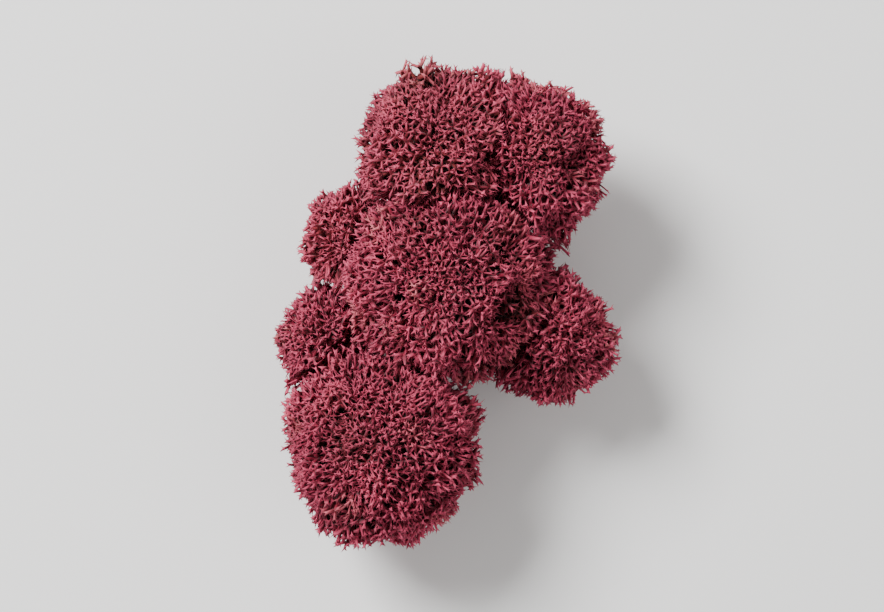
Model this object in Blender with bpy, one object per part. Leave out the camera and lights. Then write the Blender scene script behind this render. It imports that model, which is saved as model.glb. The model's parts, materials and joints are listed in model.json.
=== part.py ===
"""Reindeer moss clump: seven lichen podetia that grew side by side, each one a short stalk
under a dense cushion of star-tipped branchlets. Metres, +Z up. The origin is the middle of the
middle podetium's cut end. The cut ends are the small flat spot that the clump rests on."""

import math
import random

import bmesh
import bpy
from mathutils import Matrix, Vector

MM = 0.001

# A cushion
HEAD_FLATTENING = 0.86  # a cushion's height over its breadth
TAPER_FULLNESS = 0.88  # breadth of the taper under a cushion, over the cushion's own
TAPER_END = 4.2 * MM  # height at which the taper has narrowed to the stalk
LOBES_PER_CUSHION = 15
LOBE_JITTER = 0.18
CREASE_DEPTH = 0.1  # of the radius, between two lobes of one cushion
CREASE_COSINE = 0.87  # of the angle from a lobe's middle to its crease
NEIGHBOUR_GAP = 0.34 * MM
NEAR_NEIGHBOUR = 1.3  # of the two radii added

# Branchlets, each one raised from a facet of the cushion's core
AREA_PER_BRANCHLET = 9.8 * MM * MM
DIRECTION_JITTER = 0.2  # of the distance between two branchlets
CROWDING_ABOVE = 0.9  # under 1 puts more of them on the upper side
DOWNWARD_STRETCH = 1.5  # draws the ones on the taper down towards the stalk
BRANCHLET_REACH = 3.1 * MM
LEAST_CORE = 0.55  # of the cushion's reach, where it is narrow
NECK_RISE = (0.42, 0.57)  # of the branchlet's reach
NECK_WIDTH = 0.5  # from the branchlet's axis to the middle of its facet's side
HUB_RISE = 1.2  # of the neck's rise, so that the prongs are full
PRONG_RISE = (0.8, 1.1)
PRONG_SPREAD = (0.66, 0.88)  # from the branchlet's axis to its facet's corner
BARE_AROUND_STALK = 0.985  # cosine of the angle that is left without branchlets

# The stalk, called a podetium
FOOT_RADIUS = 1.6 * MM
FOOT_HEIGHT = 1.8 * MM
FOOT_SIDES = 8
STALK_RADIUS = 1.15 * MM
STALK_SIDES = 6
STALK_START = 0.6  # of the foot's height, so that the stem is sunk into it
TWIGS = 4
TWIG_SIDES = 3
TWIG_LENGTH = 3.6 * MM
TWIG_RADIUS = 0.5 * MM
TWIG_TAPER = 0.4
TWIG_CLIMB = 0.9  # rise of a twig over its spread
LOWEST_TWIG = 0.06  # of the way up the stem
TWIG_STEP = 0.04

GOLDEN_ANGLE = math.pi * (3 - math.sqrt(5))

# Each podetium: middle of its cushion across the clump, its top, its radius, its cut foot, and
# the number of its random draw
PODETIA = {
    "crown_podetium": {
        "middle": (0.2, 19.4), "top": 29.5, "radius": 12.1, "foot": (-1.5, 12.5), "draw": 2,
    },
    "shoulder_podetium": {
        "middle": (11, 18.4), "top": 27.5, "radius": 11.4, "foot": (10.5, 15), "draw": 0,
    },
    "middle_podetium": {
        "middle": (1, 3.4), "top": 31, "radius": 14.2, "foot": (0, 0), "draw": 1,
    },
    "front_podetium": {
        "middle": (-7.6, -17.2), "top": 27, "radius": 13.8, "foot": (-5, -12), "draw": 1,
    },
    "right_podetium": {
        "middle": (13.6, -3.4), "top": 21.5, "radius": 9.3, "foot": (9.5, -4), "draw": 0,
    },
    "left_knob_podetium": {
        "middle": (-14, -3.6), "top": 18.5, "radius": 7.8, "foot": (-10, -2.5), "draw": 2,
    },
    "upper_knob_podetium": {
        "middle": (-10.9, 9.2), "top": 20.5, "radius": 8, "foot": (-8, 7), "draw": 0,
    },
}
DUSKY = {"crown_podetium", "upper_knob_podetium"}  # cushions that took less of the dye

WINE = (0.205, 0.026, 0.050, 1)
DUSKY_WINE = (0.190, 0.045, 0.055, 1)


def clear_scene():
    for obj in list(bpy.data.objects):
        bpy.data.objects.remove(obj)


def lichen_material(name, colour):
    material = bpy.data.materials.new(name)
    material.use_nodes = True
    shader = material.node_tree.nodes["Principled BSDF"]
    shader.inputs["Base Color"].default_value = colour
    shader.inputs["Roughness"].default_value = 0.85
    shader.inputs["Metallic"].default_value = 0
    return material


def spiral_directions(count, crowding=1.0):
    """Directions spread over a sphere along one spiral, from the top down."""
    for i in range(count):
        z = 1 - 2 * ((i + 0.5) / count) ** (1 / crowding)
        across = math.sqrt(1 - z * z)
        angle = i * GOLDEN_ANGLE
        yield Vector((across * math.cos(angle), across * math.sin(angle), z))


class Cushion:
    """The rounded head of one podetium: a flattened ball of lobes that tapers to its stalk.
    Everything in it is placed by a direction from its centre and a distance along it."""

    def __init__(self, name, row):
        self.name = name
        self.radius = row["radius"] * MM
        height = row["top"] * MM - HEAD_FLATTENING * self.radius
        self.centre = Vector((row["middle"][0] * MM, row["middle"][1] * MM, height))
        self.foot = Vector((row["foot"][0] * MM, row["foot"][1] * MM, 0))
        self.random = random.Random(f"{name} {row['draw']}")
        self.lobes = [
            (direction + LOBE_JITTER * self.random_vector()).normalized()
            for direction in spiral_directions(LOBES_PER_CUSHION)
        ]
        self.taper = self.foot + Vector((0, 0, TAPER_END)) - self.centre
        self.walls = []

    def random_vector(self):
        return Vector([self.random.uniform(-1, 1) for _ in range(3)])

    def stand_clear_of(self, others):
        """A wall between this cushion and each near one, where the two balls meet."""
        for other in others:
            away = other.centre - self.centre
            if other is self or away.length > NEAR_NEIGHBOUR * (self.radius + other.radius):
                continue
            across = away.length
            to_wall = (across**2 + self.radius**2 - other.radius**2) / (2 * across)
            self.walls.append((away.normalized(), to_wall - NEIGHBOUR_GAP / 2))

    def to_walls(self, direction):
        """How far the cushion can reach in a direction before it meets a neighbour."""
        nearest = math.inf
        for normal, distance in self.walls:
            facing = direction.dot(normal)
            if facing > 0:
                nearest = min(nearest, distance / facing)
        return nearest

    def reach(self, direction):
        """Distance from the centre to the branchlets' tips in a direction."""
        stretched = Vector((direction.x, direction.y, direction.z / HEAD_FLATTENING))
        ball = self.radius / stretched.length
        nearest = max(direction.dot(lobe) for lobe in self.lobes)
        ball *= 1 - CREASE_DEPTH * min(1.0, (1 - nearest) / (1 - CREASE_COSINE))
        breadth = self.radius * TAPER_FULLNESS
        tangent = math.acos(min(1.0, breadth / self.taper.length))
        angle = direction.angle(self.taper)
        if angle < tangent:
            ball = max(ball, breadth / math.cos(tangent - angle))
        return min(ball, self.to_walls(direction))

    def core_reach(self, direction):
        reach = self.reach(direction)
        return max(reach - BRANCHLET_REACH, reach * LEAST_CORE)


class Facet:
    """One facet of a cushion's core, and the room above it for a branchlet."""

    def __init__(self, cushion, corners):
        self.cushion = cushion
        self.corners = corners
        self.axis = sum(corners, Vector()).normalized()
        base = [corner * cushion.core_reach(corner) for corner in corners]
        self.normal = (base[1] - base[0]).cross(base[2] - base[0]).normalized()
        self.distance = base[0].dot(self.normal)
        self.room = min(cushion.reach(d) - self.base(d) for d in [*corners, self.axis])

    def base(self, direction):
        return self.distance / direction.dot(self.normal)

    def lean(self, target, share):
        """A direction that share of the way from the facet's axis to another direction."""
        return self.axis.lerp(target, share).normalized()

    def point(self, direction, rise):
        """The point a share of the way from the facet to the tips, off the neighbours."""
        distance = self.base(direction) + rise * self.room
        distance = min(distance, self.cushion.to_walls(direction))
        return self.cushion.centre + direction * distance


def core(cushion):
    """The dense inside of a cushion, with one facet for each branchlet. Its vertices are left
    as directions from the centre."""
    area = 4 * math.pi * cushion.radius**2 * HEAD_FLATTENING
    vertices = round(area / AREA_PER_BRANCHLET / 2) + 2
    jitter = DIRECTION_JITTER * math.sqrt(4 * math.pi / vertices)
    bm = bmesh.new()
    for direction in spiral_directions(vertices, CROWDING_ABOVE):
        if direction.z < 0:
            direction.z *= DOWNWARD_STRETCH
        shifted = direction + cushion.random_vector() * jitter
        bmesh.ops.create_vert(bm, co=shifted.normalized())
    bmesh.ops.convex_hull(bm, input=bm.verts[:])
    bmesh.ops.recalc_face_normals(bm, faces=bm.faces[:])
    return bm


def raise_branchlet(bm, cushion, face):
    """Draw one facet out into a neck, then its end into three prongs round a hub. The neck is
    turned so that each prong leans over one corner of the facet."""
    rand = cushion.random
    top = bmesh.ops.extrude_discrete_faces(bm, faces=[face])["faces"][0]
    ring = list(top.verts)
    roots = [
        next(edge.other_vert(vert) for edge in vert.link_edges if edge not in top.edges)
        for vert in ring
    ]
    corners = [vert.co.copy() for vert in roots]
    facet = Facet(cushion, corners)
    rise = rand.uniform(*NECK_RISE)
    for i, vert in enumerate(ring):
        side = corners[i].lerp(corners[i - 1], 0.5).normalized()
        vert.co = facet.point(facet.lean(side, NECK_WIDTH), rise)
    for i, root in enumerate(roots):
        following = ring[i - 2]
        wall = next(wall for wall in root.link_faces if following in wall.verts)
        bmesh.utils.face_split(wall, root, following)
    hub = bmesh.ops.poke(bm, faces=[top])
    hub["verts"][0].co = facet.point(facet.axis, rise * HUB_RISE)
    for side in hub["faces"]:
        corner = next(i for i in range(3) if ring[i] in side.verts and ring[i - 2] in side.verts)
        prong = bmesh.ops.poke(bm, faces=[side])["verts"][0]
        leaning = facet.lean(corners[corner], rand.uniform(*PRONG_SPREAD))
        prong.co = facet.point(leaning, rand.uniform(*PRONG_RISE))


def cushion_mesh(cushion):
    """The core with its branchlets, which leave room for the stalk."""
    bm = core(cushion)
    base = bm.verts[:]
    down = cushion.taper.normalized()
    for face in bm.faces[:]:
        if face.calc_center_median().normalized().dot(down) < BARE_AROUND_STALK:
            raise_branchlet(bm, cushion, face)
    for vert in base:
        vert.co = cushion.centre + vert.co * cushion.core_reach(vert.co)
    return bm


def strut(start, end, start_radius, end_radius, sides):
    """A tapered rod between two points, as a mesh of its own."""
    along = end - start
    turn = along.to_track_quat("Z", "Y").to_matrix().to_4x4()
    bm = bmesh.new()
    bmesh.ops.create_cone(
        bm, cap_ends=True, segments=sides, radius1=start_radius, radius2=end_radius,
        depth=along.length, matrix=Matrix.Translation((start + end) / 2) @ turn,
    )
    return bm


def stalk(cushion):
    """The podetium's stalk: a cut foot, a leaning stem that runs up into the core, and twigs."""
    foot_top = cushion.foot + Vector((0, 0, FOOT_HEIGHT))
    yield strut(cushion.foot, foot_top, FOOT_RADIUS, STALK_RADIUS, FOOT_SIDES)
    start = cushion.foot + Vector((0, 0, FOOT_HEIGHT * STALK_START))
    yield strut(start, cushion.centre, STALK_RADIUS, STALK_RADIUS, STALK_SIDES)
    for i in range(TWIGS):
        angle = math.tau * i / TWIGS + cushion.random.uniform(0, 1)
        low = start.lerp(cushion.centre, LOWEST_TWIG + TWIG_STEP * i)
        reach = Vector((math.cos(angle), math.sin(angle), TWIG_CLIMB)) * TWIG_LENGTH
        yield strut(low, low + reach, TWIG_RADIUS, TWIG_RADIUS * TWIG_TAPER, TWIG_SIDES)


def as_object(bm, name, collection):
    mesh = bpy.data.meshes.new(name)
    bm.to_mesh(mesh)
    bm.free()
    obj = bpy.data.objects.new(name, mesh)
    collection.objects.link(obj)
    return obj


def islands(bm):
    """The mesh's connected pieces, each as a list of vertices."""
    unseen = set(bm.verts)
    while unseen:
        piece = [unseen.pop()]
        for vert in piece:
            for edge in vert.link_edges:
                other = edge.other_vert(vert)
                if other in unseen:
                    unseen.remove(other)
                    piece.append(other)
        yield piece


def keep_outer_skin(mesh):
    """Fill hollows that the union sealed and drop loose scraps: both are smaller islands."""
    bm = bmesh.new()
    bm.from_mesh(mesh)
    pieces = sorted(islands(bm), key=len)
    for piece in pieces[:-1]:
        bmesh.ops.delete(bm, geom=piece, context="VERTS")
    bm.to_mesh(mesh)
    bm.free()


def new_collection(name, parent):
    collection = bpy.data.collections.new(name)
    parent.children.link(collection)
    return collection


def grow_podetium(cushion, clump, material):
    """One solid: the cushion, with its stalk and twigs fused to it by one Boolean union."""
    body = as_object(cushion_mesh(cushion), cushion.name, clump)
    rods = new_collection(cushion.name + " rods", bpy.context.scene.collection)
    for bm in stalk(cushion):
        as_object(bm, "rod", rods)
    union = body.modifiers.new("grown together", "BOOLEAN")
    union.operation = "UNION"
    union.operand_type = "COLLECTION"
    union.collection = rods
    union.solver = "MANIFOLD"
    with bpy.context.temp_override(object=body):
        bpy.ops.object.modifier_apply(modifier=union.name)
    for obj in list(rods.objects):
        bpy.data.objects.remove(obj)
    bpy.data.collections.remove(rods)
    keep_outer_skin(body.data)
    body.data.materials.clear()
    body.data.materials.append(material)
    return body


def main():
    clear_scene()
    clump = new_collection("reindeer moss clump", bpy.context.scene.collection)
    wine = lichen_material("wine lichen", WINE)
    dusky = lichen_material("dusky lichen", DUSKY_WINE)
    cushions = [Cushion(name, row) for name, row in PODETIA.items()]
    for cushion in cushions:
        cushion.stand_clear_of(cushions)
    for cushion in cushions:
        grow_podetium(cushion, clump, dusky if cushion.name in DUSKY else wine)


main()
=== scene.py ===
# %% [markdown]
# # A clump of preserved reindeer moss
#
# Reindeer moss is a lichen. Each plant, called a podetium, is a stalk that forks again and again
# until it ends in thousands of tiny stars, packed into a rounded cushion. Seen from above the
# cushions look like a cauliflower made of fine net, with small dark holes between the twigs.
# This clump was dyed wine red. Seven podetia stand pressed side by side.
#
# The solid model gives us one plain solid for each podetium. Here each of those is replaced by
# real branching that fills the same form.

import json
import math
import random

import bmesh
import bpy
import numpy as np
from mathutils import Matrix, Vector


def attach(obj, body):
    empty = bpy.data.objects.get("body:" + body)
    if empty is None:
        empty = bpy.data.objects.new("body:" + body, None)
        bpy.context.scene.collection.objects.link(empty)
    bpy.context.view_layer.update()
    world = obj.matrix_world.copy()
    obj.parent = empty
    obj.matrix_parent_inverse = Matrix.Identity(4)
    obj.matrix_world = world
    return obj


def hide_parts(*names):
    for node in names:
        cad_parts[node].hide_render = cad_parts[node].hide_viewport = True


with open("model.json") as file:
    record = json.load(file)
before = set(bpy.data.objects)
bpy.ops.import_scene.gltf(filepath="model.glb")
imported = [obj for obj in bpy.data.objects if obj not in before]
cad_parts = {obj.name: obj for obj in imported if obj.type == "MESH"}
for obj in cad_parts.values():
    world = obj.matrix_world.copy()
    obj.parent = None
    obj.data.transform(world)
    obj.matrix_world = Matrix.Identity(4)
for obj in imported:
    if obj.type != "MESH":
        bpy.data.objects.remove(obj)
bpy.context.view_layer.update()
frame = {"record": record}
MM = 0.001


# %% [markdown]
# ## The form of one cushion
#
# A cushion is a flattened ball of soft lobes, and each lobe has smaller lumps on it. Under its
# widest part the cushion tapers towards its stalk. Such a form could be sculpted, or melted
# together from balls. Here one function says it all: how far the cushion reaches from its centre
# in any direction. It can be asked anywhere, so everything else is grown inside it. The places,
# sizes, lobes and tapers are those of the solid model, so the two agree. Only the lumps are new.

# %% The seven podetia, in millimetres
PODETIA = {
    "crown_podetium": {
        "middle": (0.2, 19.4), "top": 29.5, "radius": 12.1, "foot": (-1.5, 12.5), "draw": 2,
    },
    "shoulder_podetium": {
        "middle": (11, 18.4), "top": 27.5, "radius": 11.4, "foot": (10.5, 15), "draw": 0,
    },
    "middle_podetium": {
        "middle": (1, 3.4), "top": 31, "radius": 14.2, "foot": (0, 0), "draw": 1,
    },
    "front_podetium": {
        "middle": (-7.6, -17.2), "top": 27, "radius": 13.8, "foot": (-5, -12), "draw": 1,
    },
    "right_podetium": {
        "middle": (13.6, -3.4), "top": 21.5, "radius": 9.3, "foot": (9.5, -4), "draw": 0,
    },
    "left_knob_podetium": {
        "middle": (-14, -3.6), "top": 18.5, "radius": 7.8, "foot": (-10, -2.5), "draw": 2,
    },
    "upper_knob_podetium": {
        "middle": (-10.9, 9.2), "top": 20.5, "radius": 8, "foot": (-8, 7), "draw": 0,
    },
}
print(len(PODETIA), "podetia, the tallest", max(row["top"] for row in PODETIA.values()), "mm")

# %% Directions spread over a ball
GOLDEN_ANGLE = math.pi * (3 - math.sqrt(5))


def spiral_directions(count):
    """Directions spread evenly over a sphere along one spiral."""
    for i in range(count):
        z = 1 - 2 * (i + 0.5) / count
        across = math.sqrt(1 - z * z)
        yield Vector((across * math.cos(i * GOLDEN_ANGLE), across * math.sin(i * GOLDEN_ANGLE), z))


print("each direction turns", round(math.degrees(GOLDEN_ANGLE), 1), "degrees from the one before")

# %% The lobes and lumps of each cushion
HEAD_FLATTENING = 0.86
TAPER_END = 4.2 * MM
LOBES_PER_CUSHION = 15
LOBE_JITTER = 0.18
LUMP_SIZE = 5.8 * MM
LUMP_CROWDING = 1.15
LUMP_JITTER = 0.45
LUMP_DEPTH = (0.9 * MM, 2.1 * MM)


class Cushion:
    """The middle, the lobes and the lumps of one podetium's cushion, in metres."""

    def __init__(self, name, row):
        self.name = name
        self.radius = row["radius"] * MM
        height = row["top"] * MM - HEAD_FLATTENING * self.radius
        self.centre = Vector((row["middle"][0] * MM, row["middle"][1] * MM, height))
        self.foot = Vector((row["foot"][0] * MM, row["foot"][1] * MM, 0))
        self.taper = self.foot + Vector((0, 0, TAPER_END)) - self.centre
        self.neighbours = []
        self.random = random.Random(f"{name} {row['draw']}")
        self.lobes = self.scattered(LOBES_PER_CUSHION, LOBE_JITTER)
        lump_count = round(4 * math.pi * (self.radius / LUMP_SIZE) ** 2 * LUMP_CROWDING)
        self.lumps = self.scattered(lump_count, LUMP_JITTER * LUMP_SIZE / self.radius)
        self.lump_depths = np.array([self.random.uniform(*LUMP_DEPTH) for _ in self.lumps])

    def random_vector(self):
        return Vector([self.random.uniform(-1, 1) for _ in range(3)])

    def scattered(self, count, jitter):
        """Directions spread over the ball, each moved a little at random."""
        return np.array([
            (direction + jitter * self.random_vector()).normalized()
            for direction in spiral_directions(count)
        ])


cushions = [Cushion(name, row) for name, row in PODETIA.items()]
print(len(cushions), "cushions with", [len(cushion.lumps) for cushion in cushions], "lumps")

# %% How far a cushion would reach alone
CREASE_DEPTH = 0.1
CREASE_COSINE = 0.87  # of the angle from a lobe's middle to its crease
LUMP_HALF = 0.62  # of a lump's size, where its slope ends
LUMP_BLENDING = 60
LUMP_RISE = 0.35 * MM
TAPER_FULLNESS = 0.88
STEEPEST_TAPER = 1.5  # radians, just under a right angle


def hollow(cushion, directions):
    """How deep the surface lies under the tops of the lumps."""
    facing = directions @ cushion.lumps.T
    closest = facing.max(axis=1)
    weights = np.exp((facing - closest[:, None]) * LUMP_BLENDING)
    depth = weights @ cushion.lump_depths / weights.sum(axis=1)
    off_lump = np.arccos(np.clip(closest, -1, 1)) * cushion.radius
    return depth * np.minimum(1, off_lump / (LUMP_SIZE * LUMP_HALF)) ** 2


def taper_reach(cushion, directions):
    """How far the taper reaches, which is nothing away from the foot."""
    breadth = cushion.radius * TAPER_FULLNESS
    tangent = math.acos(min(1.0, breadth / cushion.taper.length))
    angle = np.arccos(np.clip(directions @ np.array(cushion.taper.normalized()), -1, 1))
    reach = breadth / np.cos(np.clip(tangent - angle, 0, STEEPEST_TAPER))
    return np.where(angle < tangent, reach, 0)


def own_reach(cushion, directions):
    """How far the cushion would reach alone, for an array of unit directions."""
    reach = cushion.radius / np.linalg.norm(directions / (1, 1, HEAD_FLATTENING), axis=1)
    nearest = (directions @ cushion.lobes.T).max(axis=1)
    reach *= 1 - CREASE_DEPTH * np.minimum(1, (1 - nearest) / (1 - CREASE_COSINE))
    reach += LUMP_RISE - hollow(cushion, directions)
    return np.maximum(reach, taper_reach(cushion, directions))


UPWARDS = np.array([(0.0, 0.0, 1.0)])
for cushion in cushions:
    reach = own_reach(cushion, UPWARDS)[0]
    print(cushion.name, "reaches", round(reach / MM, 1), "mm upwards from its centre")

# %% [markdown]
# ## Where two cushions meet
#
# Cushions that grew side by side run into one another. There is a crease between them, but it is
# rounded, and the border wanders where sprigs of one reach in between sprigs of the other. A
# boolean cut would leave a sharp, flat wall. Two steps do better. A smooth minimum of the two
# distances fills the sharp valley, as for two drops that touch. Then each cushion stops at a
# shared border, a plane that is bent by a wave. Both cushions take the same wave with opposite
# signs, so they fit together.

# %% The shared borders
NEAR_NEIGHBOUR = 1.3  # times the two radii: cushions further apart don't meet
# Each wave has a height, a length and a phase.
BORDER_WAVES = ((0.75 * MM, 9.5 * MM, 0.3), (0.5 * MM, 5.2 * MM, 1.9), (0.3 * MM, 3.1 * MM, 4.1))
SLANT = (0.6, 0.8)  # along X and Z
SLANT_HEIGHT = 0.5


def wave(places):
    """A gentle wave through space, in metres."""
    height = np.zeros(len(places))
    for size, length, phase in BORDER_WAVES:
        turns = places * (math.tau / length)
        slanting = turns[:, 2] * SLANT[1] + turns[:, 0] * SLANT[0]
        height += size * np.sin(turns[:, 0] + phase) * np.cos(turns[:, 1] + 2 * phase)
        height += size * SLANT_HEIGHT * np.sin(slanting + 3 * phase)
    return height


def meet(first, second):
    """Give two near cushions a shared border, the plane on which their balls cross."""
    away = second.centre - first.centre
    if away.length > NEAR_NEIGHBOUR * (first.radius + second.radius):
        return
    to_border = (away.length_squared + first.radius**2 - second.radius**2) / (2 * away.length)
    normal = np.array(away.normalized())
    first.neighbours.append((second, normal, to_border, 1))
    second.neighbours.append((first, -normal, away.length - to_border, -1))


for i, first in enumerate(cushions):
    for second in cushions[i + 1:]:
        meet(first, second)
print(sum(len(cushion.neighbours) for cushion in cushions) // 2, "places where two cushions meet")

# %% The skin of a cushion among its neighbours
MERGING = 5 * MM
SETTLING_STEPS = 3
BORDER_GAP = 0.1 * MM
LEAST_FACING = 1e-6


def merged_reach(cushion, directions):
    """A cushion's reach with the valleys to its neighbours filled."""
    own = own_reach(cushion, directions)
    reach = own.copy()
    centre = np.array(cushion.centre)
    for _ in range(SETTLING_STEPS):
        places = centre + directions * reach[:, None]
        nearest = reach - own
        for other, _normal, _to_border, _side in cushion.neighbours:
            offset = places - np.array(other.centre)
            length = np.linalg.norm(offset, axis=1)
            outside = length - own_reach(other, offset / length[:, None])
            blend = np.maximum(0, MERGING - np.abs(nearest - outside)) / MERGING
            nearest = np.minimum(nearest, outside) - blend**2 * MERGING / 4
        reach = np.clip(reach - nearest, own, own + MERGING)
    return reach


def skin(cushion, directions):
    """How far a cushion reaches among its neighbours, for an array of unit directions."""
    reach = merged_reach(cushion, directions)
    places = np.array(cushion.centre) + directions * reach[:, None]
    for _other, normal, to_border, side in cushion.neighbours:
        facing = np.maximum(directions @ normal, LEAST_FACING)
        reach = np.minimum(reach, (to_border + side * wave(places) - BORDER_GAP / 2) / facing)
    return reach


for cushion in cushions:
    filled = merged_reach(cushion, cushion.lobes) - own_reach(cushion, cushion.lobes)
    print(cushion.name, "is filled by", round(filled.mean() / MM, 1), "mm on the average")

# %% [markdown]
# ## Sprigs
#
# Under a lens the lichen's surface is made of sprigs. A twig forks into three or four, each of
# those forks again, and the last ones end in a star of short prongs. A bumpy skin could hint at
# that, but only real twigs leave the dark holes between them. So a few sprigs are modelled, each
# grown by one function that calls itself. A twig is a cone from bmesh, with few sides because
# there will be tens of thousands. The star is made from the twig's end: poke splits the end in
# three round a raised middle, and a second poke draws each of the three out into a prong. Each
# vertex also notes its rank, 0 at the root and 1 at the tips, which the material reads later.

# %% One twig, in millimetres
TWIG_RADII = (0.52, 0.40, 0.32, 0.26, 0.19)
TWIG_SIDES = (5, 4, 4, 3)


def noted_bmesh():
    """An empty mesh whose vertices note their rank and the tone of their sprig."""
    bm = bmesh.new()
    bm.verts.layers.float.new("rank")
    bm.verts.layers.float.new("tone")
    return bm


def turned_to(direction):
    """The turn that points Z in a direction."""
    return direction.to_track_quat("Z", "Y").to_matrix().to_4x4()


def twig(bm, start, end, radii, sides, ranks):
    """A tapered twig with both ends closed. Its end face is returned."""
    along = end - start
    made = bmesh.ops.create_cone(
        bm, cap_ends=True, segments=sides, radius1=radii[0], radius2=radii[1],
        depth=along.length, matrix=Matrix.Translation((start + end) / 2) @ turned_to(along),
    )
    # The rank later places the painted highlight on the star tips.
    rank = bm.verts.layers.float["rank"]
    for vert in made["verts"]:
        share = (vert.co - start).dot(along) / along.length_squared
        vert[rank] = ranks[0] + share * (ranks[1] - ranks[0])
    faces = {face for vert in made["verts"] for face in vert.link_faces}
    return max(faces, key=lambda face: face.calc_center_median().dot(along))


print("twigs from", 2 * TWIG_RADII[0], "mm thick at the root to", 2 * TWIG_RADII[-1], "mm at the tips")

# %% The star at a twig's end
STAR_HUB = 0.1
HUB_RANK = 0.9
PRONG_LENGTH = (0.45, 0.75)
PRONG_LEAN = (0.65, 1.15)


def star(bm, rand, end, direction, cap):
    """Three prongs round a raised middle, drawn out of a twig's end."""
    rank = bm.verts.layers.float["rank"]
    hub = bmesh.ops.poke(bm, faces=[cap])
    middle = hub["verts"][0]
    middle.co = end + direction * STAR_HUB
    middle[rank] = HUB_RANK
    for side in hub["faces"]:
        outwards = (side.calc_center_median() - end).cross(direction).cross(direction) * -1
        prong = bmesh.ops.poke(bm, faces=[side])["verts"][0]
        way = (direction + outwards.normalized() * rand.uniform(*PRONG_LEAN)).normalized()
        prong.co = end + way * rand.uniform(*PRONG_LENGTH)
        prong[rank] = 1.0


print("prongs", PRONG_LENGTH[0], "to", PRONG_LENGTH[1], "mm long")

# %% One sprig, grown fork by fork
TWIG_LENGTHS = (2.4, 1.9, 1.5, 1.15)
LENGTH_SPAN = (0.82, 1.15)
TWIG_FORKS = ((3, 4), (3, 3), (3, 4))
TWIG_SPREAD = (36, 42, 54)  # degrees from the twig before
SPREAD_SPAN = (0.75, 1.2)
TURN_JITTER = 0.3
ROOT_SINK = 0.5  # of a twig's radius, into the one before
SPRIG_KINDS = 9


def fork(bm, rand, start, direction, level):
    """One twig and, at its end, the twigs that it forks into."""
    end = start + direction * (TWIG_LENGTHS[level] * rand.uniform(*LENGTH_SPAN))
    levels = len(TWIG_LENGTHS)
    ranks = (level / levels, (level + 1) / levels)
    cap = twig(bm, start, end, TWIG_RADII[level:level + 2], TWIG_SIDES[level], ranks)
    if level + 1 == levels:
        star(bm, rand, end, direction, cap)
        return
    count = rand.randint(*TWIG_FORKS[level])
    first = rand.uniform(0, math.tau)
    sideways = direction.orthogonal().normalized()
    for i in range(count):
        around = first + math.tau * i / count + rand.uniform(-TURN_JITTER, TURN_JITTER)
        turned = Matrix.Rotation(around, 3, direction)
        spread = math.radians(TWIG_SPREAD[level] * rand.uniform(*SPREAD_SPAN))
        way = direction * math.cos(spread) + (turned @ sideways) * math.sin(spread)
        root = end - direction * TWIG_RADII[level + 1] * ROOT_SINK
        fork(bm, rand, root, way, level + 1)


def sprig_mesh(number):
    """One kind of sprig in metres, growing upwards, with its highest tip at the origin's height."""
    bm = noted_bmesh()
    fork(bm, random.Random(number), Vector(), Vector((0, 0, 1)), 0)
    lift = max(vert.co.z for vert in bm.verts)
    bmesh.ops.translate(bm, verts=bm.verts[:], vec=(0, 0, -lift))
    bmesh.ops.scale(bm, verts=bm.verts[:], vec=(MM, MM, MM))
    mesh = bpy.data.meshes.new(f"sprig_{number}")
    bm.to_mesh(mesh)
    bm.free()
    return mesh


sprigs = [sprig_mesh(number) for number in range(SPRIG_KINDS)]
print("sprigs with", [len(mesh.polygons) for mesh in sprigs], "faces")

# %% [markdown]
# ## Filling a cushion
#
# The sprigs stand side by side over the whole cushion, pointing outwards. Scattered over the
# finished form they would crowd in its creases and lean on its slopes. So they are set over a
# plain ball, with their tips at its surface. Then every vertex is moved along its own direction
# until the ball has the cushion's form, and creases, the taper and the pressed sides come by
# themselves. Each vertex notes how deep under the tips it lies, and the colour paints shade by
# that depth. Here and there a sprig is set deeper, which leaves a pit, dark from real shade and
# from that painted shade. A smaller closed core stops the eye: on the real lichen the inner
# branches are so dense that no light comes through. The core lies deep, so its colour is painted
# almost black as shade.

# %% Sprigs over a ball
SPRIG_SPACING = 3.75 * MM
SPRIG_TILT = 0.16
SPRIG_SIZE = (0.86, 1.12)
SPRIG_SINK = (-0.4 * MM, 0.8 * MM)
PIT_SHARE = 0.09
PIT_DEPTH = 1.6 * MM


def plant(bm, sprig, matrix):
    """Add a sprig at its place, and put the sprig's own mesh back as it was."""
    sprig.transform(matrix)
    bm.from_mesh(sprig)
    sprig.transform(matrix.inverted())


def sprig_count(cushion):
    """How many sprigs cover the ball, when each takes a hexagon of it."""
    return round(4 * math.pi * cushion.radius**2 / (SPRIG_SPACING**2 * math.sqrt(3) / 2))


def sprigs_over_ball(bm, cushion):
    rand = cushion.random
    for direction in spiral_directions(sprig_count(cushion)):
        leaning = (direction + SPRIG_TILT * cushion.random_vector()).normalized()
        size = rand.uniform(*SPRIG_SIZE)
        sunk = rand.uniform(*SPRIG_SINK) + (PIT_DEPTH if rand.random() < PIT_SHARE else 0)
        place = Matrix.Translation(direction * (cushion.radius - sunk))
        spin = Matrix.Rotation(rand.uniform(0, math.tau), 4, "Z")
        sprig = rand.choice(sprigs)
        tone = np.full(len(sprig.vertices), rand.random(), dtype=np.float32)
        sprig.attributes["tone"].data.foreach_set("value", tone)
        plant(bm, sprig, place @ turned_to(leaning) @ spin @ Matrix.Scale(size, 4))


print(sum(sprig_count(cushion) for cushion in cushions), "sprigs in all")

# %% The core, and the ball drawn to the cushion's form
CORE_SHARE = 0.64
CORE_SUBDIVISIONS = 5
CORE_TONE = 0.5
FURTHEST_TIP = 1.04  # of the reach, past which no tip stands


def core_in_ball(bm, cushion):
    radius = cushion.radius * CORE_SHARE
    made = bmesh.ops.create_icosphere(bm, subdivisions=CORE_SUBDIVISIONS, radius=radius)
    tone = bm.verts.layers.float["tone"]
    for vert in made["verts"]:
        vert[tone] = CORE_TONE


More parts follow.
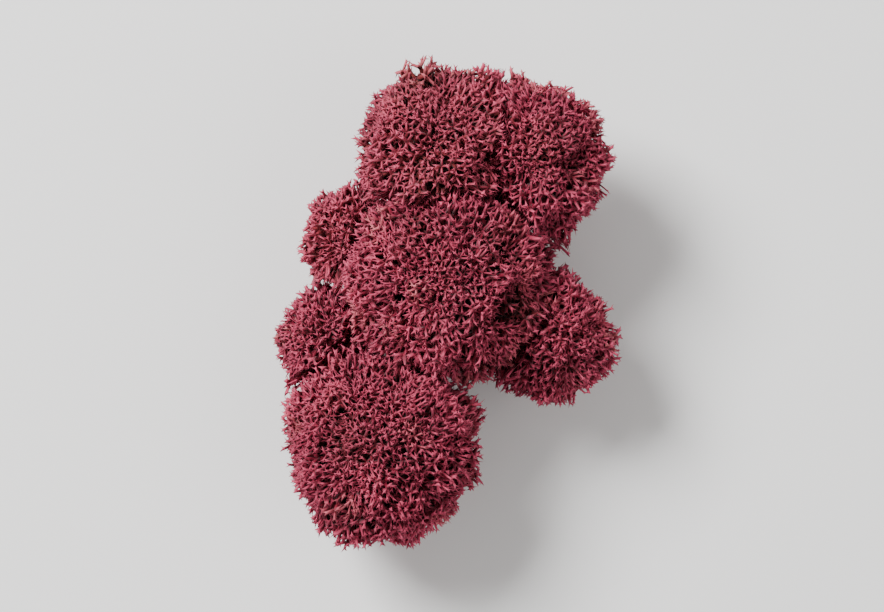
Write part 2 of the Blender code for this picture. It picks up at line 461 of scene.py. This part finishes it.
def draw_to_form(mesh, cushion):
    """Move each vertex along its direction, and note how deep under the tips it lies, which sets the
    painted shade.
    """
    places = np.empty(len(mesh.vertices) * 3, dtype=np.float32)
    mesh.vertices.foreach_get("co", places)
    places = places.reshape(-1, 3).astype(float)
    distance = np.linalg.norm(places, axis=1)
    directions = places / distance[:, None]
    share = distance / cushion.radius
    reach = np.minimum(share, FURTHEST_TIP) * skin(cushion, directions)
    places = np.array(cushion.centre) + directions * reach[:, None]
    mesh.vertices.foreach_set("co", places.astype(np.float32).ravel())
    depth = mesh.attributes.new("depth", "FLOAT", "POINT")
    depth.data.foreach_set("value", ((1 - share) * cushion.radius / MM).astype(np.float32))


print("cores", [round(cushion.radius * CORE_SHARE / MM, 1) for cushion in cushions], "mm in radius")

# %% [markdown]
# ## Stalks
#
# Under the cushions the podetia show as short stalks, cut off at the bottom when the moss was
# picked. A stalk isn't one smooth post, as a stretched cylinder would be: a few old branches
# twist round each other, and small sprigs grow out of them on all sides. A curve with a round
# bevel makes a bent branch in one tube with closed ends, and it is turned into a mesh at once.

# %% A bundle of twisted branches
STRANDS = 4
STRAND_RADIUS = (0.5 * MM, 0.8 * MM)
STRAND_THICKNESS = 1.15  # of that radius at the foot
STRAND_THINNING = 0.12  # from each station to the next
STRAND_OFFSET = 0.85 * MM
STRAND_WANDER = (0.9, 1.2)
STALK_TWIST = 1.1  # radians from each station to the next
BEVEL_STEPS = 1
BEND_STEPS = 3


def add_strand(bm, stations, radius):
    """A bent branch through a few stations, as a closed tube."""
    curve = bpy.data.curves.new("strand", "CURVE")
    curve.dimensions = "3D"
    curve.bevel_depth = radius
    curve.bevel_resolution = BEVEL_STEPS
    curve.use_fill_caps = True
    curve.resolution_u = BEND_STEPS
    spline = curve.splines.new("BEZIER")
    spline.bezier_points.add(len(stations) - 1)
    for i, (point, place) in enumerate(zip(spline.bezier_points, stations)):
        point.co = place
        point.radius = STRAND_THICKNESS - STRAND_THINNING * i
        point.handle_left_type = "AUTO"
        point.handle_right_type = "AUTO"
    spline.bezier_points[0].handle_right_type = "VECTOR"
    holder = bpy.data.objects.new("strand", curve)
    mesh = bpy.data.meshes.new_from_object(holder)
    bm.from_mesh(mesh)
    bpy.data.objects.remove(holder)
    bpy.data.curves.remove(curve)
    bpy.data.meshes.remove(mesh)


def add_bundle(bm, rand, spine):
    """Strands round a spine of places. They stand upright to its second place, and then twist."""
    first = rand.uniform(0, math.tau)
    for i in range(STRANDS):
        stations = []
        for step, middle in enumerate(spine):
            angle = first + math.tau * i / STRANDS + STALK_TWIST * max(0, step - 1)
            offset = Vector((math.cos(angle), math.sin(angle), 0)) * STRAND_OFFSET
            stations.append(middle + offset * rand.uniform(*STRAND_WANDER))
        stations[0].xy = stations[1].xy
        add_strand(bm, stations, rand.uniform(*STRAND_RADIUS))


breadth = 2 * STRAND_OFFSET + sum(STRAND_RADIUS)
print("stalks of", STRANDS, "strands, about", round(breadth / MM, 1), "mm thick")

# %% The side sprigs, and the whole stalk
SIDE_SPRIGS = 20
SIDE_SPRIG_SIZE = (0.42, 0.72)
SIDE_SPRIG_JITTER = 0.3
SIDE_SPRIG_RISE = (0.05, 0.7)  # at the lowest one, and how much more at the top
SPRIG_HEIGHT = 7.4 * MM
STALK_TOP = 0.55
UPRIGHT = 1.6 * MM
# Painted shade: the stalks are darkened as if they lay this deep under the tips.
STALK_SHADE_DEPTH = 2.2  # mm: a stalk is as dark as twigs this deep under the tips
GROUND_CLEARANCE = 0.12 * MM


def add_side_sprigs(bm, rand, low, high):
    for i in range(SIDE_SPRIGS):
        share = i / SIDE_SPRIGS
        angle = GOLDEN_ANGLE * i + rand.uniform(-SIDE_SPRIG_JITTER, SIDE_SPRIG_JITTER)
        rise = SIDE_SPRIG_RISE[0] + SIDE_SPRIG_RISE[1] * share
        way = Vector((math.cos(angle), math.sin(angle), rise)).normalized()
        size = rand.uniform(*SIDE_SPRIG_SIZE)
        tip = Matrix.Translation(low.lerp(high, share) + way * SPRIG_HEIGHT * size)
        plant(bm, rand.choice(sprigs), tip @ turned_to(way) @ Matrix.Scale(size, 4))


def add_stalk(bm, cushion):
    before = len(bm.verts)
    end = cushion.foot.lerp(cushion.centre, STALK_TOP)
    upright = cushion.foot + Vector((0, 0, UPRIGHT))
    add_bundle(bm, cushion.random, (cushion.foot, upright, upright.lerp(end, 0.5), end))
    add_side_sprigs(bm, cushion.random, upright, end)
    bm.verts.ensure_lookup_table()
    depth = bm.verts.layers.float["depth"]
    rank = bm.verts.layers.float["rank"]
    for vert in bm.verts[before:]:
        # Painted shade: the strands and the roots of the side sprigs get depth, so the colour darkens
        # them.
        vert[depth] = STALK_SHADE_DEPTH * (1 - vert[rank])
        if vert[rank] > 0:
            vert.co.z = max(vert.co.z, GROUND_CLEARANCE)


print(SIDE_SPRIGS, "side sprigs on each stalk")

# %% [markdown]
# ## The lichen's colour
#
# Dyed lichen is dry and matt. The star tips stand in the light, and a painted highlight turns
# them a dusty pink wine. The twigs under them are full wine red, and deep inside, painted shade
# turns the colour almost black. Some patches took less dye and stay brownish, and here and there
# a sprig has dry, pale tips. A painted image would have to cover every twig. Instead the colour is
# mixed from the values noted on the mesh: the depth and the rank, which place the painted shade
# and highlight, and a tone of its own for each sprig. Noise adds the patches and a fine grain on
# the twigs. A node group holds all that, so both finishes can use it.

# %% Helpers that add a node
MIX_FIRST, MIX_SECOND, MIX_RESULT = 6, 7, 2  # the colour sockets of a Mix node


def fill_inputs(tree, node, inputs):
    """Set each input to its value, or link it where the value is another node's output."""
    for socket, value in inputs.items():
        if isinstance(value, bpy.types.NodeSocket):
            tree.links.new(value, node.inputs[socket])
        else:
            node.inputs[socket].default_value = value


def add_node(tree, kind, inputs=None, **settings):
    node = tree.nodes.new(kind)
    for name, value in settings.items():
        setattr(node, name, value)
    fill_inputs(tree, node, inputs or {})
    return node


def attribute(tree, name):
    return add_node(tree, "ShaderNodeAttribute", attribute_name=name).outputs["Fac"]


def noise(tree, place, size, detail):
    inputs = {"Vector": place, "Scale": 1 / size, "Detail": detail}
    return add_node(tree, "ShaderNodeTexNoise", inputs).outputs["Fac"]


def mapped(tree, value, ends, results=(0.0, 1.0)):
    """The value brought from between two ends to between two results."""
    inputs = {"Value": value, "From Min": ends[0], "From Max": ends[1]}
    inputs.update({"To Min": results[0], "To Max": results[1]})
    return add_node(tree, "ShaderNodeMapRange", inputs).outputs["Result"]


def combined(tree, operation, first, second):
    inputs = {0: first, 1: second}
    return add_node(tree, "ShaderNodeMath", inputs, operation=operation).outputs["Value"]


def mixed(tree, share, first, second, blend_type="MIX"):
    inputs = {"Factor": share, MIX_FIRST: first, MIX_SECOND: second}
    node = add_node(tree, "ShaderNodeMix", inputs, data_type="RGBA", blend_type=blend_type)
    return node.outputs[MIX_RESULT]


print("a Mix node takes its two colours at sockets", MIX_FIRST, "and", MIX_SECOND)

# %% A node group for the colour and the grain
# Painted shade: the colour turns to this near-black with depth under the tips.
DEEP_SHADE = (0.030, 0.0008, 0.0020, 1)
WINE = (0.270, 0.015, 0.042, 1)
# Painted highlight: the outer star tips are paled to this dusty pink as if lit.
TIP_HIGHLIGHT = (0.640, 0.095, 0.170, 1)
DRY = (0.520, 0.190, 0.180, 1)
BROWN = (0.230, 0.050, 0.040, 1)
LIT_DEPTHS = (3.8, 0.4)  # mm under the tips, from dark to full colour
HIGHLIGHT_DEPTHS = (2.6, 0.0)
HIGHLIGHT_RANKS = (0.66, 1.0)
DRY_TONES = (0.92, 1.0)
DRY_SHARE = (0.0, 0.7)
PATCH_SIZE = 9 * MM
PATCH_DETAIL = 2.0
PATCH_NOISE = (0.5, 0.68)
PATCH_SHARE = (0.0, 0.55)
GRAIN_SIZE = 0.35 * MM
GRAIN_DETAIL = 3.0
GRAIN_NOISE = (0.3, 0.7)
GRAIN_SHADES = ((0.72, 0.72, 0.72, 1), (1.16, 1.16, 1.16, 1))
TONE_SHADES = ((0.78, 0.76, 0.78, 1), (1.14, 1.12, 1.12, 1))


def lichen_group():
    tree = bpy.data.node_groups.new("lichen colour", "ShaderNodeTree")
    tree.interface.new_socket("Brown", in_out="INPUT", socket_type="NodeSocketFloat")
    tree.interface.new_socket("Colour", in_out="OUTPUT", socket_type="NodeSocketColor")
    tree.interface.new_socket("Height", in_out="OUTPUT", socket_type="NodeSocketFloat")
    brown = add_node(tree, "NodeGroupInput").outputs["Brown"]
    depth, rank, tone = (attribute(tree, name) for name in ("depth", "rank", "tone"))
    place = add_node(tree, "ShaderNodeTexCoord").outputs["Object"]
    patch = noise(tree, place, PATCH_SIZE, PATCH_DETAIL)
    grain = noise(tree, place, GRAIN_SIZE, GRAIN_DETAIL)

    browned = combined(tree, "ADD", mapped(tree, patch, PATCH_NOISE, PATCH_SHARE), brown)
    # Painted shade: the wine colour, with its brown patches, turns near-black with depth under the
    # tips.
    body = mixed(tree, mapped(tree, depth, LIT_DEPTHS), DEEP_SHADE, mixed(tree, browned, WINE, BROWN))
    pointed = mixed(tree, mapped(tree, tone, DRY_TONES, DRY_SHARE), TIP_HIGHLIGHT, DRY)
    outermost = mapped(tree, depth, HIGHLIGHT_DEPTHS)
    # Painted highlight: the tips nearest the surface turn to the pale pink.
    tip_highlight = combined(tree, "MULTIPLY", mapped(tree, rank, HIGHLIGHT_RANKS), outermost)
    colour = mixed(tree, tip_highlight, body, pointed)
    grained = mixed(tree, mapped(tree, grain, GRAIN_NOISE), *GRAIN_SHADES)
    toned = mixed(tree, tone, *TONE_SHADES)
    for shade in (grained, toned):
        colour = mixed(tree, 1.0, colour, shade, blend_type="MULTIPLY")
    add_node(tree, "NodeGroupOutput", {"Colour": colour, "Height": grain})
    return tree


lichen_colour = lichen_group()
print("the lichen's colour takes", len(lichen_colour.nodes), "nodes")

# %% [markdown]
# ## Two finishes
#
# Most heads took the dye fully, and two stayed a dusky brown. One material could turn from one
# to the other over the clump, but the dye took or failed head by head. So there are two materials
# with the same nodes, and only the share of brown differs. The shader's own values are plain
# numbers: very rough, with hardly any gloss and a trace of sheen. The grain is also a slight bump.

# %% Full wine, and the dusky one that took less dye
MATT = {
    "Roughness": 0.82,
    "Specular IOR Level": 0.10,
    "Sheen Weight": 0.05,
    "Sheen Roughness": 0.5,
}
GRAIN_BUMP = {"Strength": 0.35, "Distance": 0.12 * MM}
DUSKY = 0.45


def lichen_material(name, brown):
    material = bpy.data.materials.new(name)
    material.use_nodes = True
    tree = material.node_tree
    shader = tree.nodes["Principled BSDF"]
    colour = add_node(tree, "ShaderNodeGroup", {"Brown": brown}, node_tree=lichen_colour)
    bump = add_node(tree, "ShaderNodeBump", {**GRAIN_BUMP, "Height": colour.outputs["Height"]})
    fill_inputs(tree, shader, MATT)
    fill_inputs(tree, shader, {"Base Color": colour.outputs["Colour"]})
    fill_inputs(tree, shader, {"Normal": bump.outputs["Normal"]})
    return material


finishes = {
    "wine_lichen": lichen_material("wine lichen", 0.0),
    "dusky_lichen": lichen_material("dusky lichen", DUSKY),
}
slots = {row["node"]: row["material_slot"] for row in frame["record"]["subparts"]}
print("finishes:", slots)

# %% [markdown]
# ## Growing the seven podetia
#
# Each podetium grew as one piece, so it becomes one mesh: its core and sprigs, drawn to the
# cushion's form, and then its stalk. A thousand separate sprigs would look the same, but one mesh
# is easier to move and to count. It replaces the solid of the same name.

# %% Grow each podetium
def grow(cushion):
    bm = noted_bmesh()
    core_in_ball(bm, cushion)
    sprigs_over_ball(bm, cushion)
    mesh = bpy.data.meshes.new(cushion.name + "_fine")
    bm.to_mesh(mesh)
    bm.free()
    draw_to_form(mesh, cushion)
    bm = bmesh.new()
    bm.from_mesh(mesh)
    add_stalk(bm, cushion)
    bm.to_mesh(mesh)
    bm.free()
    mesh.shade_smooth()
    return mesh


for cushion in cushions:
    mesh = grow(cushion)
    slot = slots[cushion.name]
    mesh.materials.append(finishes[slot])
    piece = bpy.data.objects.new(cushion.name + "_fine", mesh)
    bpy.context.scene.collection.objects.link(piece)
    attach(piece, "root")
    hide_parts(cushion.name)
    triangles = sum(len(face.vertices) - 2 for face in mesh.polygons)
    print(cushion.name, sprig_count(cushion), "sprigs,", triangles, "triangles")
for mesh in sprigs:
    bpy.data.meshes.remove(mesh)

# %% [markdown]
# ## The floor
#
# The clump stands on a pale floor, which is not part of it. A plain disc would show its edge in a
# low view. So the disc's rim is drawn out and up in small steps, into a cove that serves as a
# backdrop on every side.

# %% A round floor with a cove
FLOOR_RADIUS = 1.0
FLOOR_SIDES = 96
COVE_RADIUS = 0.5
COVE_STEPS = 10
FLOOR_PAINT = {"Base Color": (0.88, 0.875, 0.87, 1), "Roughness": 0.7}


def floor_form():
    bm = bmesh.new()
    bmesh.ops.create_circle(bm, cap_ends=True, segments=FLOOR_SIDES, radius=FLOOR_RADIUS)
    rim = bm.edges[:]
    for step in range(COVE_STEPS):
        before, after = (math.pi / 2 * turn / COVE_STEPS for turn in (step, step + 1))
        radius = FLOOR_RADIUS + COVE_RADIUS * math.sin(before)
        wider = FLOOR_RADIUS + COVE_RADIUS * math.sin(after)
        climb = COVE_RADIUS * (math.cos(before) - math.cos(after))
        raised = bmesh.ops.extrude_edge_only(bm, edges=rim)["geom"]
        ring = [item for item in raised if isinstance(item, bmesh.types.BMVert)]
        edges = [item for item in raised if isinstance(item, bmesh.types.BMEdge)]
        rim = [edge for edge in edges if set(edge.verts) <= set(ring)]
        bmesh.ops.scale(bm, verts=ring, vec=(wider / radius, wider / radius, 1))
        bmesh.ops.translate(bm, verts=ring, vec=(0, 0, climb))
    bmesh.ops.recalc_face_normals(bm, faces=bm.faces[:])
    if bm.faces[0].normal.z < 0:
        bmesh.ops.reverse_faces(bm, faces=bm.faces[:])
    mesh = bpy.data.meshes.new("floor")
    bm.to_mesh(mesh)
    bm.free()
    mesh.shade_smooth()
    return mesh


floor_mesh = floor_form()
paint = bpy.data.materials.new("pale floor")
paint.use_nodes = True
fill_inputs(paint.node_tree, paint.node_tree.nodes["Principled BSDF"], FLOOR_PAINT)
floor_mesh.materials.append(paint)
floor = bpy.data.objects.new("floor", floor_mesh)
bpy.context.scene.collection.objects.link(floor)
print("the floor is", 2 * (FLOOR_RADIUS + COVE_RADIUS), "m across")

# %% [markdown]
# ## The light
#
# A small hard lamp would leave black shadows, and light from everywhere would fill the holes
# between the twigs. So one large soft light comes from the upper left, with a weak one from the
# other side and a dim sky, and the holes stay dark.

# %% Two lamps and a dim sky
AIM = Vector((0, 0.5 * MM, 14 * MM))
SKY = {"Color": (1.0, 0.99, 0.97, 1), "Strength": 0.42}


def area_light(name, place, size, power):
    light = bpy.data.lights.new(name, "AREA")
    light.size = size
    light.energy = power
    holder = bpy.data.objects.new(name, light)
    holder.location = place
    holder.rotation_euler = (AIM - holder.location).to_track_quat("-Z", "Y").to_euler()
    bpy.context.scene.collection.objects.link(holder)
    print(name, round((AIM - holder.location).length, 2), "m away,", power, "W")


area_light("key light", place=(-0.42, 0.34, 0.62), size=0.34, power=13.0)
area_light("fill light", place=(0.6, -0.3, 0.7), size=0.8, power=2.5)
world = bpy.data.worlds.new("studio")
world.use_nodes = True
fill_inputs(world.node_tree, world.node_tree.nodes["Background"], SKY)
bpy.context.scene.world = world

# %% [markdown]
# ## The camera
#
# The photograph looks down on the clump almost straight, so the camera stands high over it, a
# few degrees towards the front. A short lens close by would make the tallest heads swell, so a
# long lens looks at the clump's middle from half a metre away.

# %% The camera over the clump
CAMERA_ELEVATION = math.radians(86)
CAMERA_DISTANCE = 0.5
CAMERA_LENS = 162  # mm
CLOSEST_SEEN = 0.01

camera = bpy.data.cameras.new("camera")
camera.lens = CAMERA_LENS
camera.clip_start = CLOSEST_SEEN
holder = bpy.data.objects.new("camera", camera)
back = Vector((0, -math.cos(CAMERA_ELEVATION), math.sin(CAMERA_ELEVATION)))
holder.location = AIM + back * CAMERA_DISTANCE
holder.rotation_euler = (-back).to_track_quat("-Z", "Y").to_euler()
bpy.context.scene.collection.objects.link(holder)
bpy.context.scene.camera = holder
print("the camera is", round(holder.location.z / MM), "mm above the floor")
